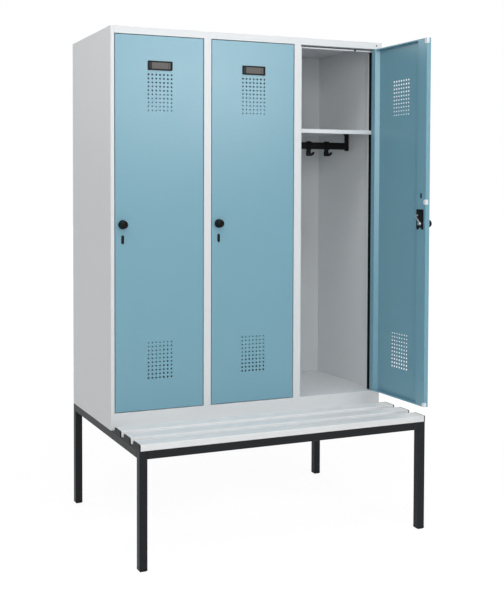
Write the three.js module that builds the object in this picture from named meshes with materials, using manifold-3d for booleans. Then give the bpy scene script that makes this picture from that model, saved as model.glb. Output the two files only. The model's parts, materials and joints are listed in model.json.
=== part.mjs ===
// Locker with bench: a three compartment sheet steel cabinet on a square tube frame,
// whose front part carries a slatted seat.
// Millimetres. x runs right along the front, y to the back, z up. While the pieces are made,
// x = 0 is the cabinet's left side, y = 0 its front face and z = 0 the ground.

import * as THREE from 'three';
import { mergeGeometries, mergeVertices } from 'three/addons/utils/BufferGeometryUtils.js';
import Module from 'manifold-3d';

// Counts
const compartmentCount = 3;
const hooksPerRail = 3;
const slatCount = 3;
const ventColumns = 7;
const ventRows = 10;
const arcSteps = 4;
const roundSteps = 20;
const pinSteps = 14;
const hexSides = 6;
const squareSides = 4;

// Clearances
const fit = 0.3;
const overrun = 2;

// Cabinet
const cabinetWidth = 1190;
const cabinetDepth = 500;
const cabinetHeight = 1516;
const sheet = 1;
const stileFace = 15;
const topRailHeight = 27;
const plinthHeight = 63;
const plinthFoot = 15;
const rebateDepth = 20;
const rearFlange = 15;
const backRecess = 5;
const floorStep = 4;
const strikeWidth = 14;
const postInset = 12;
const postDepth = 40;
const postFrontLip = 3;
const postBackLip = 8;
const topSlot = 5;
const topLip = 5.4;
const cornerRelief = 20;

// Bench frame
const frameHeight = 424;
const benchDepth = 310;
const tubeSize = 30;
const tubeWall = 2;
const footHeight = 10;
const footChamfer = 4;
const footPlug = 22;

// Seat slats
const slatWidth = 65;
const slatHeight = 23;
const slatPitch = 101;
const slatWall = 2;
const slatCorner = 3;
const capThickness = 4.5;
const capPlug = 12;

// Doors
const doorGap = 3;
const doorDepth = 18;
const hingeInset = 9;
const hingeSetback = 5;
const hingeEdgeRadius = 3;
const pinRadius = 3;
const pinReach = 7;
const pinSeat = 12;
const collarRadius = 4.5;
const lockBoxWidth = 54.6;
const lockBoxStep = 0.7;
const edgeReturn = 8;
const flangeReturn = 5;
const hingeFold = 26;
const hingeFoldRun = 10;
const drainHole = 5;
const drainSetback = 8;
const shownOpenAngle = THREE.MathUtils.degToRad(91);

// Vents in the doors
const ventPitchAcross = 15.7;
const ventPitchUp = 15;
const ventLargest = 6.5;
const ventSmallest = 4.5;
const upperVentTop = 145;
const lowerVentBottom = 122;

// Label holders
const labelWidth = 100;
const labelHeight = 35;
const labelThickness = 3;
const labelRim = 5;
const labelRecess = 1.5;
const labelDrop = 111;

// Locks
const lockInset = 29.4;
const lockHeight = 708.5;
const knobBaseRadius = 17.5;
const knobBaseHeight = 4;
const knobGripRadius = 15.5;
const knobHeight = 27.5;
const knobStemRadius = 8;
const keySlotWidth = 12;
const keySlotHeight = 34;
const keySlotDrop = 57;
const flangeSlotWidth = 10;
const flangeSlotHeight = 22;
const flangeSlotRise = 108;
const plateWidth = 42;
const plateHeight = 77.5;
const plateThickness = 1.2;
const plateShift = 4;
const plateRise = 16.5;
const plateArchRadius = 8;
const plateHoleRadius = 6.5;
const camGap = 3.5;
const camThickness = 2;
const camHubRadius = 8;
const camHubStep = 0.4;
const camArmAcross = 25;
const camArmUp = 32;
const camArmWidth = 8;
const camTabLength = 15;
const camTabWidth = 6;
const spindleRadius = 5;
const nutRadius = 6.5;
const nutHeight = 5;
const nutTurn = THREE.MathUtils.degToRad(10);

// Hat shelves
const shelfTop = 1577;
const shelfLip = 16;
const shelfHem = 10;

// Coat rails and their hooks
const barHeight = 27;
const barThickness = 14;
const barCorner = 5;
const barDrop = 42;
const bracketWidth = 24;
const bracketDepth = 30;
const bracketBelowBar = 6;
const bracketCorner = 8;
const bracketFoot = 12;
const hookPitch = 89;
const hookWidth = 18;
const hookWall = 5;
const hookPlay = 0.5;
const hookDepth = 10;
const hookStem = 7;
const hookBowRadius = 19;
const hookBowWall = 8;
const hookBowShift = 7.5;
const hookBowQuarters = 1.85;

// Colours and finishes
const paintRoughness = 0.45;
const plasticRoughness = 0.5;
const glossRoughness = 0.25;
const zincRoughness = 0.3;
const zincMetalness = 0.9;
const lightGrey = { color: 0xd2d5d7, roughness: paintRoughness, metalness: 0 };
const doorBlue = { color: 0x86b0c1, roughness: paintRoughness, metalness: 0 };
const anthracite = { color: 0x2d3134, roughness: paintRoughness, metalness: 0 };
const slatGrey = { color: 0xd3d8da, roughness: paintRoughness, metalness: 0 };
const blackPlastic = { color: 0x1b1c1e, roughness: plasticRoughness, metalness: 0 };
const glossBlack = { color: 0x0c0d0f, roughness: glossRoughness, metalness: 0 };
const brightZinc = { color: 0xc4c6c8, roughness: zincRoughness, metalness: zincMetalness };

// Heights and places that follow from the sizes above
const top = frameHeight + cabinetHeight;
const railBottom = top - topRailHeight;
const plinthTop = frameHeight + plinthHeight;
const floorTop = plinthTop - floorStep;
const topLipBottom = railBottom - topSlot - topLip;
const postBack = rebateDepth + postDepth;
const postFace = stileFace + postInset;
const cell = cabinetWidth / compartmentCount;
const backFace = cabinetDepth - sheet - backRecess;
const doorWidth = cell - 2 * (stileFace + doorGap);
const doorBottom = plinthTop + doorGap;
const doorHeight = railBottom - doorGap - doorBottom;
const hingeFromCellEnd = stileFace + doorGap + hingeInset;
const barTop = shelfTop - barDrop;
const barMiddle = barTop - barHeight / 2;
const barDepthPlace = cabinetDepth / 2;

const wasm = await Module();
wasm.setup();

// Solids from geometries and back
function solidOf(geometry) {
  const plain = geometry.clone();
  plain.deleteAttribute('normal');
  plain.deleteAttribute('uv');
  const merged = mergeVertices(plain);
  const vertProperties = new Float32Array(merged.attributes.position.array);
  const triVerts = new Uint32Array(merged.index.array);
  return new wasm.Manifold(new wasm.Mesh({ numProp: 3, vertProperties, triVerts }));
}

function geometryOf(solid) {
  const mesh = solid.getMesh();
  const geometry = new THREE.BufferGeometry();
  geometry.setAttribute('position', new THREE.BufferAttribute(mesh.vertProperties, 3));
  geometry.setIndex(new THREE.BufferAttribute(mesh.triVerts, 1));
  const faceted = geometry.toNonIndexed();
  faceted.computeVertexNormals();
  return faceted;
}

function joined(first, ...others) {
  return geometryOf(others.reduce((solid, other) => solid.add(solidOf(other)), solidOf(first)));
}

function cut(body, ...cutters) {
  return geometryOf(cutters.reduce((solid, cutter) => solid.subtract(solidOf(cutter)), solidOf(body)));
}

// Basic shapes, given by their corners or outlines
function block(x0, x1, y0, y1, z0, z1) {
  const box = new THREE.BoxGeometry(x1 - x0, y1 - y0, z1 - z0);
  return box.translate((x0 + x1) / 2, (y0 + y1) / 2, (z0 + z1) / 2);
}

function extruded(shape, depth) {
  return new THREE.ExtrudeGeometry(shape, { depth, bevelEnabled: false, steps: 1 });
}

// An outline in x and y, drawn out along z
function upright(shape, z0, z1) {
  return extruded(shape, z1 - z0).translate(0, 0, z0);
}

// An outline in y and z, drawn out along x
function lengthwise(shape, x0, x1) {
  const turn = new THREE.Matrix4();
  turn.makeBasis(new THREE.Vector3(0, 1, 0), new THREE.Vector3(0, 0, 1), new THREE.Vector3(1, 0, 0));
  return extruded(shape, x1 - x0).applyMatrix4(turn).translate(x0, 0, 0);
}

// An outline in x and z, drawn out along y
function facing(shape, y0, y1) {
  const turn = new THREE.Matrix4();
  turn.makeBasis(new THREE.Vector3(1, 0, 0), new THREE.Vector3(0, 0, 1), new THREE.Vector3(0, -1, 0));
  return extruded(shape, y1 - y0).applyMatrix4(turn).translate(0, y1, 0);
}

function rod(radius, z0, z1, steps) {
  const cylinder = new THREE.CylinderGeometry(radius, radius, z1 - z0, steps);
  return cylinder.rotateX(Math.PI / 2).translate(0, 0, (z0 + z1) / 2);
}

// A round bar along y, centred on x = 0 and z = 0
function crossRod(radius, y0, y1, steps) {
  const cylinder = new THREE.CylinderGeometry(radius, radius, y1 - y0, steps);
  return cylinder.translate(0, (y0 + y1) / 2, 0);
}

// The outline of a sheet folded along a path; the thickness lies to the left of the path
// for side 1 and to its right for side -1
function foldedSheet(path, thickness, side) {
  const points = path.map(([u, v]) => new THREE.Vector2(u, v));
  const normals = points.slice(1).map((point, i) => {
    const along = point.clone().sub(points[i]).normalize();
    return new THREE.Vector2(-along.y, along.x).multiplyScalar(side);
  });
  const inner = points.map((point, i) => {
    const before = normals[Math.max(i - 1, 0)];
    const after = normals[Math.min(i, normals.length - 1)];
    const miter = before.clone().add(after).divideScalar(1 + before.dot(after));
    return point.clone().addScaledVector(miter, thickness);
  });
  return new THREE.Shape([...points, ...inner.reverse()]);
}

function rectangle(u0, u1, v0, v1) {
  return new THREE.Shape([
    new THREE.Vector2(u0, v0),
    new THREE.Vector2(u1, v0),
    new THREE.Vector2(u1, v1),
    new THREE.Vector2(u0, v1),
  ]);
}

// Points on an arc, from one angle to another in quarter turns
function arc(u, v, radius, fromQuarters, toQuarters) {
  return Array.from({ length: arcSteps + 1 }, (_, i) => {
    const angle = (fromQuarters + ((toQuarters - fromQuarters) * i) / arcSteps) * (Math.PI / 2);
    return new THREE.Vector2(u + radius * Math.cos(angle), v + radius * Math.sin(angle));
  });
}

function roundedRectangle(u0, u1, v0, v1, radius) {
  return new THREE.Shape([
    ...arc(u1 - radius, v0 + radius, radius, -1, 0),
    ...arc(u1 - radius, v1 - radius, radius, 0, 1),
    ...arc(u0 + radius, v1 - radius, radius, 1, 2),
    ...arc(u0 + radius, v0 + radius, radius, 2, 3),
  ]);
}

// A slot with round ends, taller than it is wide
function pill(u, v, width, height) {
  const radius = width / 2;
  const reach = height / 2 - radius;
  return new THREE.Shape([
    ...arc(u, v + reach, radius, 0, 2),
    ...arc(u, v - reach, radius, 2, 4),
  ]);
}

const group = new THREE.Group();

function addPiece(parent, name, geometry, finish) {
  const mesh = new THREE.Mesh(geometry, new THREE.MeshStandardMaterial(finish));
  mesh.name = name;
  parent.add(mesh);
  return mesh;
}

// Each compartment, counted from zero at the left
const compartments = Array.from({ length: compartmentCount }, (_, i) => {
  const left = i * cell;
  const right = left + cell;
  return {
    number: i + 1,
    left,
    right,
    middle: (left + right) / 2,
    leftWall: i === 0 ? sheet : left + sheet / 2,
    rightWall: i === compartmentCount - 1 ? cabinetWidth - sheet : right - sheet / 2,
  };
});

// Cabinet shell

function leftSidePlan() {
  return foldedSheet(
    [
      [rearFlange, cabinetDepth],
      [0, cabinetDepth],
      [0, 0],
      [stileFace, 0],
      [stileFace, rebateDepth],
      [stileFace + strikeWidth, rebateDepth],
    ],
    sheet,
    1,
  );
}

// The hinge side of a compartment that ends at x = end: the rebate for the door, the stop
// behind the door's hinge edge and the front lip of the post's open side
function hingeSidePath(end) {
  const rebate = end - stileFace;
  const face = end - postFace;
  return [
    [rebate, 0],
    [rebate, rebateDepth],
    [face, rebateDepth],
    [face, rebateDepth + postFrontLip],
  ];
}

// The back of the post: its rear lip and the fold that joins it to the wall at x = wall
function postBackPlan(end, wall) {
  const face = end - postFace;
  return foldedSheet([[face, postBack - postBackLip], [face, postBack], [wall, postBack]], sheet, -1);
}

function rightSidePlan() {
  const end = cabinetWidth;
  const wall = [
    [end - rearFlange, cabinetDepth],
    [end, cabinetDepth],
    [end, 0],
  ];
  return foldedSheet([...wall, ...hingeSidePath(end)], sheet, -1);
}

// The folds at the front of a side stop at the floor panel and at the top panel's lip
function sideCutters(x0, x1) {
  const deep = postBack + sheet + overrun;
  return [
    block(x0, x1, rebateDepth, deep, frameHeight - overrun, floorTop),
    block(x0, x1, rebateDepth, deep, topLipBottom, top),
  ];
}

function makeSides() {
  const foldReach = stileFace + strikeWidth + overrun;
  const leftBlank = upright(leftSidePlan(), frameHeight, top - sheet);
  const left = cut(leftBlank, ...sideCutters(sheet, foldReach));
  addPiece(group, 'side_left', left, lightGrey);
  const post = upright(postBackPlan(cabinetWidth, cabinetWidth - sheet / 2), floorTop, topLipBottom);
  const rightBlank = joined(upright(rightSidePlan(), frameHeight, top - sheet), post);
  const right = cut(rightBlank, ...sideCutters(cabinetWidth - foldReach, cabinetWidth - sheet));
  addPiece(group, 'side_right', right, lightGrey);
}

// A divider: the front stile with the strike of one door and the hinge side of its
// neighbour, the post's back, and a web that runs from the stile to the rear panel
function makeDivider(number, x) {
  const stile = foldedSheet(
    [
      [stileFace + strikeWidth, rebateDepth],
      [stileFace, rebateDepth],
      [stileFace, 0],
      ...hingeSidePath(0),
    ],
    sheet,
    -1,
  );
  const half = sheet / 2;
  const web = foldedSheet([[-half, half], [-half, backFace], [rearFlange, backFace]], sheet, -1);
  const plans = [stile, web, postBackPlan(0, 0)];
  const whole = joined(...plans.map((plan) => upright(plan, frameHeight, top + overrun)));
  const reach = stileFace + strikeWidth + overrun;
  const behind = backFace + overrun;
  const divider = cut(
    whole,
    block(-reach, reach, -overrun, rebateDepth, floorTop - overrun, plinthTop),
    block(-reach, reach, -overrun, behind, frameHeight - overrun, floorTop),
    block(-reach, reach, -overrun, rebateDepth, railBottom, top),
    block(-reach, reach, rebateDepth, postBack + sheet, topLipBottom, top),
    block(-reach, reach, -overrun, behind, top - sheet, top + 2 * overrun),
  );
  addPiece(group, `divider_${number}`, divider, lightGrey).position.x = x;
}

// Openings in the folds above and below each door: a hole for the hinge pin and the
// relief at the lock side's corner
function cornerCutters(z0, z1) {
  return compartments.flatMap(({ left, right }) => {
    const hinge = right - hingeFromCellEnd;
    const corner = left + stileFace;
    return [
      rod(pinRadius + fit, z0, z1, pinSteps).translate(hinge, hingeSetback, 0),
      block(corner, corner + cornerRelief, sheet, rebateDepth - sheet, z0, z1),
    ];
  });
}

function makeTopPanel() {
  const section = foldedSheet(
    [
      [cabinetDepth, top],
      [0, top],
      [0, railBottom],
      [postBack, railBottom],
      [postBack, railBottom - topSlot],
      [rebateDepth, railBottom - topSlot],
      [rebateDepth, topLipBottom],
    ],
    sheet,
    1,
  );
  const z0 = topLipBottom - overrun;
  const z1 = top - sheet;
  const behind = postBack + sheet + overrun;
  const panel = cut(
    lengthwise(section, 0, cabinetWidth),
    block(-overrun, stileFace, -overrun, behind, z0, z1),
    block(cabinetWidth - stileFace, cabinetWidth + overrun, -overrun, behind, z0, z1),
    ...cornerCutters(railBottom - sheet, railBottom + 2 * sheet),
  );
  addPiece(group, 'top_panel', panel, lightGrey);
}

function makeFloorPanel() {
  const section = foldedSheet(
    [
      [plinthFoot, frameHeight],
      [0, frameHeight],
      [0, plinthTop],
      [rebateDepth, plinthTop],
      [rebateDepth, floorTop],
      [backFace, floorTop],
    ],
    sheet,
    -1,
  );
  const z0 = frameHeight - overrun;
  const z1 = plinthTop + overrun;
  const panel = cut(
    lengthwise(section, sheet, cabinetWidth - sheet),
    block(0, stileFace, -overrun, rebateDepth, z0, z1),
    block(cabinetWidth - stileFace, cabinetWidth, -overrun, rebateDepth, z0, z1),
    ...cornerCutters(plinthTop - 2 * sheet, plinthTop + sheet),
  );
  addPiece(group, 'floor_panel', panel, lightGrey);
}

// A shallow pan between the sides, with its edges folded back to their rear flanges
function makeBackPanel() {
  const x0 = sheet + fit;
  const x1 = cabinetWidth - sheet - fit;
  const flanges = cabinetDepth - sheet;
  const pan = foldedSheet([[x0, flanges], [x0, backFace], [x1, backFace], [x1, flanges]], sheet, 1);
  addPiece(group, 'back_panel', upright(pan, frameHeight, top - sheet), lightGrey);
}

// Inside the compartments

// The shelf's front lip stands behind the strike and against the post
function makeHatShelf({ number, right, leftWall, rightWall }) {
  const lipFront = rebateDepth + sheet + fit;
  const x0 = leftWall + fit;
  const x1 = rightWall - fit;
  const notch = right - postFace - fit;
  const notchBack = postBack + fit;
  const deckBack = backFace - sheet - fit;
  const section = foldedSheet(
    [
      [lipFront + shelfHem, shelfTop - shelfLip],
      [lipFront, shelfTop - shelfLip],
      [lipFront, shelfTop],
      [deckBack, shelfTop],
    ],
    sheet,
    -1,
  );
  const z0 = shelfTop - shelfLip - overrun;
  const postSpace = block(notch, x1 + overrun, 0, notchBack, z0, shelfTop + overrun);
  addPiece(group, `hat_shelf_${number}`, cut(lengthwise(section, x0, x1), postSpace), lightGrey);
}

// A bracket hangs under the shelf beside a wall, with a foot that widens to the inside.
// It is drawn for the right wall, whose face is x = 0, and mirrored for the left one
function bracketOutline(side) {
  const z0 = barTop - barHeight - bracketBelowBar;
  const z1 = shelfTop - sheet - fit;
  const x0 = -bracketWidth;
  const points = [
    ...arc(x0 + bracketCorner, z0 + bracketCorner, bracketCorner, 2, 3),
    ...arc(-bracketCorner, z0 + bracketCorner, bracketCorner, 3, 4),
    new THREE.Vector2(0, z1),
    new THREE.Vector2(x0 - bracketFoot, z1),
    new THREE.Vector2(x0, z1 - bracketFoot),
  ];
  return new THREE.Shape(points.map((point) => new THREE.Vector2(point.x * side, point.y)));
}

function makeCoatRail({ number, leftWall, rightWall }) {
  const start = leftWall + fit;
  const end = rightWall - fit;
  const y0 = barDepthPlace - bracketDepth / 2;
  const y1 = barDepthPlace + bracketDepth / 2;
  const barFront = barDepthPlace - barThickness / 2;
  const barBack = barDepthPlace + barThickness / 2;
  const section = roundedRectangle(barFront, barBack, barTop - barHeight, barTop, barCorner);
  const bar = lengthwise(section, start + bracketWidth / 2, end - bracketWidth / 2);
  const leftBracket = facing(bracketOutline(-1), y0, y1).translate(start, 0, 0);
  const rightBracket = facing(bracketOutline(1), y0, y1).translate(end, 0, 0);
  addPiece(group, `coat_rail_${number}`, joined(bar, leftBracket, rightBracket), blackPlastic);
}

// A hook is a closed loop around the bar with a J below it that opens to the right.
// It is made about the bar's middle
function hookGeometry() {
  const innerY = barThickness / 2 + hookPlay;
  const innerZ = barHeight / 2 + hookPlay;
  const outerY = innerY + hookWall;
  const outerZ = innerZ + hookWall;
  const side = hookWidth / 2;
  const band = lengthwise(roundedRectangle(-outerY, outerY, -outerZ, outerZ, hookWall), -side, side);
  const beyond = side + overrun;
  const loop = cut(band, block(-beyond, beyond, -innerY, innerY, -innerZ, innerZ));
  const bowTop = -outerZ - hookStem;
  const inner = hookBowRadius - hookBowWall;
  const jay = new THREE.Shape([
    new THREE.Vector2(hookBowShift - hookBowRadius, hookWall / 2 - outerZ),
    ...arc(hookBowShift, bowTop, hookBowRadius, 2, 2 + hookBowQuarters),
    ...arc(hookBowShift, bowTop, inner, 2 + hookBowQuarters, 2),
    new THREE.Vector2(hookBowShift - inner, hookWall / 2 - outerZ),
  ]);
  return joined(loop, facing(jay, -hookDepth / 2, hookDepth / 2));
}

function makeHooks({ number, middle }) {
  for (let i = 0; i < hooksPerRail; i += 1) {
    const shift = (i - (hooksPerRail - 1) / 2) * hookPitch;
    const hook = addPiece(group, `coat_hook_${number}_${i + 1}`, hookGeometry(), blackPlastic);
    hook.position.set(middle + shift, barDepthPlace, barMiddle);
  }
}

// Doors. A door and what it carries are made about its hinge axis, with z = 0 at the door's
// bottom edge and the door closed, and its group turns it open

const doorRight = hingeInset;
const doorLeft = hingeInset - doorWidth;
const doorFront = -hingeSetback;
const doorBack = doorFront + doorDepth;
const doorMiddle = (doorLeft + doorRight) / 2;
const lockX = doorLeft + lockInset;
const boxRight = doorLeft + lockBoxWidth;
const foldTop = doorRight - hingeFold;
const foldFoot = foldTop - hingeFoldRun;
const foldWallAcross = sheet * Math.hypot(1, hingeFoldRun / (doorDepth - sheet));

// Square vents in a field, the largest in its outer row; step is 1 where the rows run up
// from z and -1 where they run down
function ventField(z, step) {
  const vents = [];
  for (let row = 0; row < ventRows; row += 1) {
    const half = THREE.MathUtils.lerp(ventLargest, ventSmallest, row / (ventRows - 1)) / 2;
    for (let column = 0; column < ventColumns; column += 1) {
      const x = doorMiddle + (column - (ventColumns - 1) / 2) * ventPitchAcross;
      const rowZ = z + step * row * ventPitchUp;
      const front = doorFront - overrun;
      const back = doorFront + overrun;
      vents.push(block(x - half, x + half, front, back, rowZ - half, rowZ + half));
    }
  }
  return mergeGeometries(vents);
}

// The two rounded folds at the door's hinge edge, from the front to the back
function hingeBends(radius) {
  const bendX = doorRight - hingeEdgeRadius;
  return [
    ...arc(bendX, doorFront + hingeEdgeRadius, radius, -1, 0),
    ...arc(bendX, doorBack - hingeEdgeRadius, radius, 0, 1),
  ];
}

// The door's outline from above
function doorPlan() {
  return new THREE.Shape([
    new THREE.Vector2(doorLeft, doorFront),
    ...hingeBends(hingeEdgeRadius),
    new THREE.Vector2(doorLeft, doorBack),
  ]);
}

// The hollow between the lock box and the sloping wall of the hinge fold, open to the back
function panHollow() {
  return new THREE.Shape([
    new THREE.Vector2(boxRight, doorFront + sheet),
    new THREE.Vector2(foldFoot, doorFront + sheet),
    new THREE.Vector2(foldTop, doorBack),
    new THREE.Vector2(foldTop, doorBack + overrun),
    new THREE.Vector2(boxRight, doorBack + overrun),
  ]);
}

// The hollow inside the hinge fold
function foldHollow() {
  return new THREE.Shape([
    ...hingeBends(hingeEdgeRadius - sheet),
    new THREE.Vector2(foldTop + foldWallAcross, doorBack - sheet),
    new THREE.Vector2(foldFoot + foldWallAcross, doorFront + sheet),
  ]);
}

// The return that stiffens the door's upper or lower flange, from the lock box to the hinge fold
function returnStrip(z0, z1) {
  return block(boxRight - sheet, foldTop + sheet, doorBack - sheet, doorBack, z0, z1);
}

// A hinge pin that points up, with the collar that keeps the door off the cabinet; z = 0
// is the door's edge
function pinGeometry() {
  const collar = doorGap - fit;
  const profile = [
    new THREE.Vector2(0, -pinSeat),
    new THREE.Vector2(pinRadius, -pinSeat),
    new THREE.Vector2(pinRadius, -sheet / 2),
    new THREE.Vector2(collarRadius, -sheet / 2),
    new THREE.Vector2(collarRadius, collar),
    new THREE.Vector2(pinRadius, collar),
    new THREE.Vector2(pinRadius, doorGap + pinReach),
    new THREE.Vector2(0, doorGap + pinReach),
  ];
  return new THREE.LatheGeometry(profile, pinSteps).rotateX(Math.PI / 2);
}

function doorGeometry() {
  const front = doorFront + sheet;
  const back = doorBack - sheet;
  const boxLeft = doorLeft + lockBoxStep;
  const z0 = sheet;
  const z1 = doorHeight - sheet;
  const behind = doorBack + overrun;
  const drainHalf = drainHole / 2;
  const drain = block(-drainHalf, drainHalf, -drainHalf, drainHalf, -overrun, overrun);
  const shell = cut(
    upright(doorPlan(), 0, doorHeight),
    upright(panHollow(), z0, z1),
    upright(foldHollow(), z0, z1),
    drain.translate(-drainSetback - drainHalf, 0, 0),
    block(boxLeft + sheet, boxRight - sheet, front, back, z0, z1),
    block(doorLeft - overrun, boxLeft, doorFront + edgeReturn, behind, -overrun, doorHeight + overrun),
  );
  const topPin = pinGeometry().translate(0, 0, doorHeight);
  const bottomPin = pinGeometry().rotateX(Math.PI);
  const topReturn = returnStrip(doorHeight - flangeReturn, doorHeight);
  const bottomReturn = returnStrip(0, flangeReturn);
  const whole = joined(shell, topPin, bottomPin, topReturn, bottomReturn);
  const beyondFront = doorFront - overrun;
  const beyondBack = doorBack + overrun;
  const stemHole = crossRod(knobStemRadius + fit, beyondFront, beyondBack, roundSteps);
  const keySlot = pill(lockX, lockHeight - keySlotDrop, keySlotWidth, keySlotHeight);
  const flangeSlot = pill(lockX, lockHeight + flangeSlotRise, flangeSlotWidth, flangeSlotHeight);
  return cut(
    whole,
    stemHole.translate(lockX, 0, lockHeight),
    facing(keySlot, beyondFront, doorFront + overrun),
    facing(flangeSlot, doorBack - overrun, beyondBack),
    ventField(doorHeight - upperVentTop, -1),
    ventField(lowerVentBottom, 1),
  );
}

function labelGeometry() {
  const z1 = doorHeight - labelDrop + labelHeight / 2;
  const z0 = z1 - labelHeight;
  const x0 = doorMiddle - labelWidth / 2;
  const x1 = doorMiddle + labelWidth / 2;
  const back = doorFront - fit;
  const front = back - labelThickness;
  const corner = labelRim / 2;
  const body = facing(roundedRectangle(x0, x1, z0, z1, corner), front, back);
  const window = block(
    x0 + labelRim,
    x1 - labelRim,
    front - overrun,
    front + labelRecess,
    z0 + labelRim,
    z1 - labelRim,
  );
  return cut(body, window);
}

// The knob turns about y; its profile runs from the stem's end to the top of the dome
function knobGeometry() {
  const seat = hingeSetback + fit;
  const domeStart = knobBaseHeight + (knobHeight - knobBaseHeight) / 2;
  const domeRise = knobHeight - domeStart;
  const dome = Array.from({ length: arcSteps + 1 }, (_, i) => {
    const angle = (Math.PI / 2) * (i / arcSteps);
    const height = seat + domeStart + domeRise * Math.sin(angle);
    return new THREE.Vector2(knobGripRadius * Math.cos(angle), height);
  });
  dome[arcSteps].x = 0;
  const stemEnd = hingeSetback - doorDepth + 2 * sheet;
  const profile = [
    new THREE.Vector2(0, stemEnd),
    new THREE.Vector2(knobStemRadius, stemEnd),
    new THREE.Vector2(knobStemRadius, seat),
    new THREE.Vector2(knobBaseRadius, seat),
    new THREE.Vector2(knobBaseRadius, seat + knobBaseHeight),
    new THREE.Vector2(knobGripRadius, seat + knobBaseHeight),
    ...dome,
  ];
  // The lathe turns about y with y growing upwards, and the knob points to the front
  return new THREE.LatheGeometry(profile, roundSteps).rotateX(Math.PI);
}

function plateGeometry() {
  const x0 = plateShift - plateWidth / 2;
  const x1 = plateShift + plateWidth / 2;
  const z0 = plateRise - plateHeight / 2;
  const z1 = plateRise + plateHeight / 2;
  const back = doorBack + fit + plateThickness;
  const plate = facing(rectangle(x0, x1, z0, z1), doorBack + fit, back);
  const arch = crossRod(plateArchRadius, doorBack, back + overrun, roundSteps).translate(plateShift, 0, z0);
  const hole = crossRod(plateHoleRadius, doorBack, back + overrun, roundSteps);
  return cut(plate, arch, hole);
}

// The cam: a hub with an arm that leans to the hinge side and a tab at its end, on a
// spindle, with the nut behind it. A quarter turn brings the tab behind the strike
function camGeometry() {
  const front = doorBack + camGap + plateThickness;
  const back = front + camThickness;
  const middle = (front + back) / 2;
  const reach = Math.hypot(camArmAcross, camArmUp);
  const half = camArmWidth / 2;
  const armAcross = camArmAcross / reach;
  const armUp = camArmUp / reach;
  const arm = new THREE.Shape([
    new THREE.Vector2(half * armUp, -half * armAcross),
    new THREE.Vector2(camArmAcross + half * armUp, camArmUp - half * armAcross),
    new THREE.Vector2(camArmAcross, camArmUp + camTabWidth / 2),
    new THREE.Vector2(camArmAcross - camTabLength, camArmUp + camTabWidth / 2),
    new THREE.Vector2(camArmAcross - camTabLength, camArmUp - camTabWidth / 2),
    new THREE.Vector2(camArmAcross - half, camArmUp - camTabWidth / 2),
    new THREE.Vector2(-half * armUp, half * armAcross),
  ]);
  const spindleStart = doorBack - 2 * sheet + fit;
  const profile = [
    new THREE.Vector2(0, spindleStart),
    new THREE.Vector2(spindleRadius, spindleStart),
    new THREE.Vector2(spindleRadius, front - camHubStep),
    new THREE.Vector2(camHubRadius, front - camHubStep),
    new THREE.Vector2(camHubRadius, back + camHubStep),
    new THREE.Vector2(0, back + camHubStep),
  ];
  const hub = new THREE.LatheGeometry(profile, roundSteps);
  const nut = crossRod(nutRadius, middle, back + nutHeight, hexSides).rotateY(nutTurn);
  return joined(hub, facing(arm, front, back), nut);
}

function makeDoor({ number, right }) {
  const leaf = new THREE.Group();
  leaf.position.set(right - hingeFromCellEnd, hingeSetback, doorBottom);
  leaf.rotation.z = number === compartmentCount ? shownOpenAngle : 0;
  group.add(leaf);
  addPiece(leaf, `door_${number}`, doorGeometry(), doorBlue);
  addPiece(leaf, `label_holder_${number}`, labelGeometry(), blackPlastic);
  addPiece(leaf, `lock_plate_${number}`, plateGeometry(), blackPlastic).position.set(lockX, 0, lockHeight);
  addPiece(leaf, `lock_knob_${number}`, knobGeometry(), glossBlack).position.set(lockX, 0, lockHeight);
  addPiece(leaf, `lock_cam_${number}`, camGeometry(), brightZinc).position.set(lockX, 0, lockHeight);
}

// Bench frame

// A square tube, open at both ends, given by its section and drawn out along z
function tubeSection() {
  const section = rectangle(0, tubeSize, 0, tubeSize);
  section.holes.push(rectangle(tubeWall, tubeSize - tubeWall, tubeWall, tubeSize - tubeWall));
  return section;
}

function railAlongX(y) {
  const tube = lengthwise(tubeSection(), tubeSize, cabinetWidth - tubeSize);
  return tube.translate(0, y, frameHeight - tubeSize);
}

function railAlongY(x) {
  const tube = facing(tubeSection(), tubeSize - benchDepth, cabinetDepth - tubeSize);
  return tube.translate(x, 0, frameHeight - tubeSize);
}

// A leg stands from its foot to the top of the frame and is closed at the top
function legGeometry() {
  const outer = block(0, tubeSize, 0, tubeSize, footHeight, frameHeight);
  const bore = block(
    tubeWall,
    tubeSize - tubeWall,
    tubeWall,
    tubeSize - tubeWall,
    footHeight - overrun,
    frameHeight - tubeWall,
  );
  return cut(outer, bore);
}

// A foot closes the tube: a plug inside it and a pad below with chamfered edges
function footGeometry() {
  const half = tubeSize / 2;
  const plugHalf = half - tubeWall - fit;
  const profile = [
    new THREE.Vector2(0, 0),
    new THREE.Vector2((half - footChamfer) * Math.SQRT2, 0),
    new THREE.Vector2(half * Math.SQRT2, footChamfer),
    new THREE.Vector2(half * Math.SQRT2, footHeight),
    new THREE.Vector2(0, footHeight),
  ];
  const pad = new THREE.LatheGeometry(profile, squareSides);
  pad.rotateX(Math.PI / 2).rotateZ(Math.PI / 4);
  const plug = block(-plugHalf, plugHalf, -plugHalf, plugHalf, footChamfer, footHeight + footPlug);
  return joined(pad, plug).translate(half, half, 0);
}

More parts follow.
